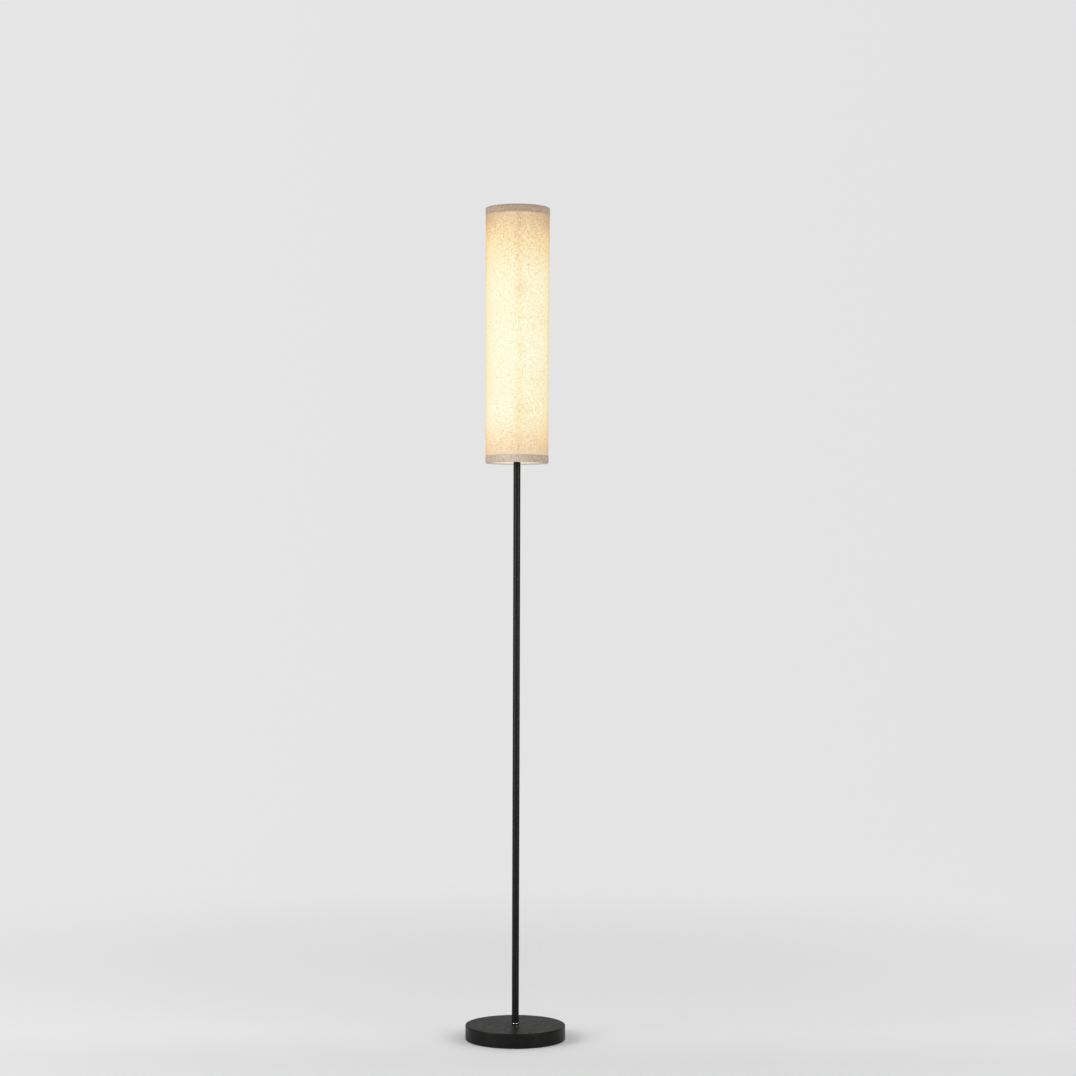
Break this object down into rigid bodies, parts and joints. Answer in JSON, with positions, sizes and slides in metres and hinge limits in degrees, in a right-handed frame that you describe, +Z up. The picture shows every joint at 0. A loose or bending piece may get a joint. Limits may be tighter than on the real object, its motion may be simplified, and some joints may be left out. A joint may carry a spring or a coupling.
{
  "type": "column floor lamp",
  "caption": "Floor lamp with a weighted round base, a slim straight pole and a tall, narrow drum shade round upright globe bulbs.",
  "frame": {"origin": "on the floor, under the pole's axis, at the centre of the base", "axes": "+Z up along the pole, -Y towards the front, +Y towards the cable inlet at the back, +X to the right"},
  "size_m": [0.198, 0.1988, 1.6496],
  "materials": {
    "powder_black": "satin black powder coat",
    "bright_steel": "polished nickel",
    "cast_iron": "rough casting",
    "foam": "closed-cell foam",
    "rubber": "matt rubber",
    "brass": "bright",
    "white_plastic": "matt",
    "zinc_steel": "zinc plate",
    "nickel": "nickel plate",
    "black_plastic": "satin",
    "ceramic": "glazed ceramic",
    "opal": "opal, lit",
    "lead_sheath": "soft sheath",
    "shade_lining": "cream styrene",
    "linen": "natural linen, lit from inside",
    "linen_trim": "folded linen"
  },
  "bodies": {
    "stand": {"foot_pad": "foam", "base_weight": "cast_iron", "base_cover": "powder_black", "cable_grommet": "rubber", "terminal_block": "white_plastic", "terminal_screws": "brass", "base_stud": "zinc_steel", "base_washer": "zinc_steel", "base_nut": "zinc_steel", "foot_ring": "bright_steel", "foot_collar": "powder_black", "pole_lower": "powder_black", "pole_middle": "powder_black", "pole_upper": "powder_black", "pole_lower_inserts": "zinc_steel", "pole_upper_inserts": "zinc_steel", "pole_studs": "zinc_steel", "switch_housing": "powder_black", "housing_lid": "powder_black", "lid_screws": "zinc_steel", "switch_body": "black_plastic", "switch_nut": "zinc_steel", "wire_connector": "white_plastic", "riser_tube": "zinc_steel", "riser_nuts": "zinc_steel", "holder_bracket_1": "zinc_steel", "holder_bracket_2": "zinc_steel", "holder_bracket_3": "zinc_steel", "holder_shell_1": "black_plastic", "holder_shell_2": "black_plastic", "holder_shell_3": "black_plastic", "holder_core_1": "ceramic", "holder_core_2": "ceramic", "holder_core_3": "ceramic", "screw_shell_1": "nickel", "screw_shell_2": "nickel", "screw_shell_3": "nickel", "holder_nipples": "zinc_steel", "holder_nuts": "zinc_steel", "supply_lead": "lead_sheath", "inner_leads": "lead_sheath", "finial": "powder_black"},
    "shade": {"shade_frame": "bright_steel", "shade_bottom_ring": "bright_steel", "shade_panel": "shade_lining", "shade_skin": "linen", "shade_top_trim": "linen_trim", "shade_bottom_trim": "linen_trim", "shade_seam": "linen_trim"},
    "switch": {"switch_shaft": "zinc_steel", "switch_knob": "black_plastic"},
    "bulb_1_cap": {"bulb_cap_1": "nickel"},
    "bulb_1": {"bulb_body_1": "white_plastic", "bulb_globe_1": "opal"},
    "bulb_2_cap": {"bulb_cap_2": "nickel"},
    "bulb_2": {"bulb_body_2": "white_plastic", "bulb_globe_2": "opal"},
    "bulb_3_cap": {"bulb_cap_3": "nickel"},
    "bulb_3": {"bulb_body_3": "white_plastic", "bulb_globe_3": "opal"}
  },
  "joints": [
    {"name": "shade_turn", "type": "hinge", "parent": "stand", "child": "shade", "pos_m": [0, 0, 1.6326], "axis": [0, 0, 1], "continuous": true},
    {"name": "switch_turn", "type": "hinge", "parent": "stand", "child": "switch", "pos_m": [0.03, 0, 1.1596], "axis": [1, 0, 0], "continuous": true},
    {"name": "bulb_1_rise", "type": "slide", "parent": "stand", "child": "bulb_1_cap", "axis": [0, 0, 1], "range_m": [0, 0.00989]},
    {"name": "bulb_1_turn", "type": "hinge", "parent": "bulb_1_cap", "child": "bulb_1", "pos_m": [-0.032, 0, 1.2119], "axis": [0, 0, 1], "range_deg": [0, 1260]},
    {"name": "bulb_2_rise", "type": "slide", "parent": "stand", "child": "bulb_2_cap", "axis": [0, 0, 1], "range_m": [0, 0.00989]},
    {"name": "bulb_2_turn", "type": "hinge", "parent": "bulb_2_cap", "child": "bulb_2", "pos_m": [0.016, -0.02771, 1.3299], "axis": [0, 0, 1], "range_deg": [0, 1260]},
    {"name": "bulb_3_rise", "type": "slide", "parent": "stand", "child": "bulb_3_cap", "axis": [0, 0, 1], "range_m": [0, 0.00989]},
    {"name": "bulb_3_turn", "type": "hinge", "parent": "bulb_3_cap", "child": "bulb_3", "pos_m": [0.016, 0.02771, 1.4479], "axis": [0, 0, 1], "range_deg": [0, 1260]}
  ],
  "couplings": [
    {"joint": "bulb_1_rise", "follows": "bulb_1_turn", "m_per_rad": 0.00044882},
    {"joint": "bulb_2_rise", "follows": "bulb_2_turn", "m_per_rad": 0.00044882},
    {"joint": "bulb_3_rise", "follows": "bulb_3_turn", "m_per_rad": 0.00044882}
  ]
}
